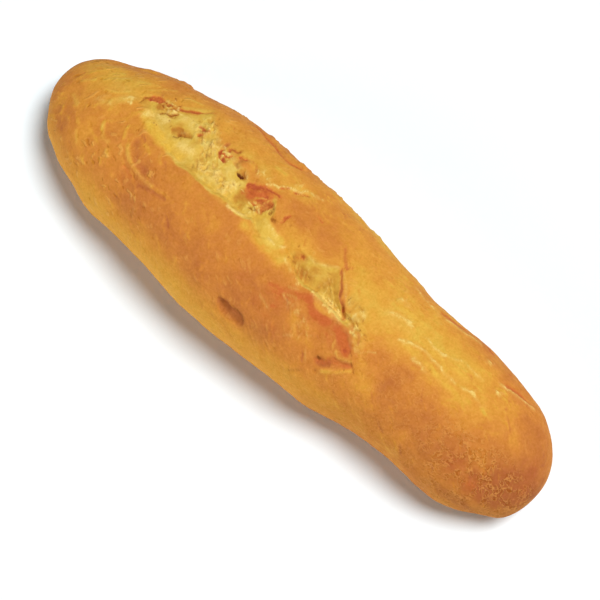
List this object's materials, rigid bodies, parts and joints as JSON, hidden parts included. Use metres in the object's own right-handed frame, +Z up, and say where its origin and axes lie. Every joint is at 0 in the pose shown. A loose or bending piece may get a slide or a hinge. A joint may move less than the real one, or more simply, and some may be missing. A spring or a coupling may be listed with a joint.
{
  "type": "cheese breadstick",
  "caption": "Short plump bread stick with a golden crust, a torn slash with a raised ear along its top, rounded ends and a flat sole.",
  "frame": {"origin": "bottom centre of the bread, on the flat sole it rests on", "axes": "+X along the bread towards its browned head, +Y across it away from the ear, +Z up"},
  "size_m": [0.2, 0.0574, 0.0414],
  "materials": {
    "crust": "golden baked crust, satin to matt, with pale yellow torn crumb in the slash"
  },
  "bodies": {
    "root": {"breadstick": "crust"}
  },
  "joints": []
}
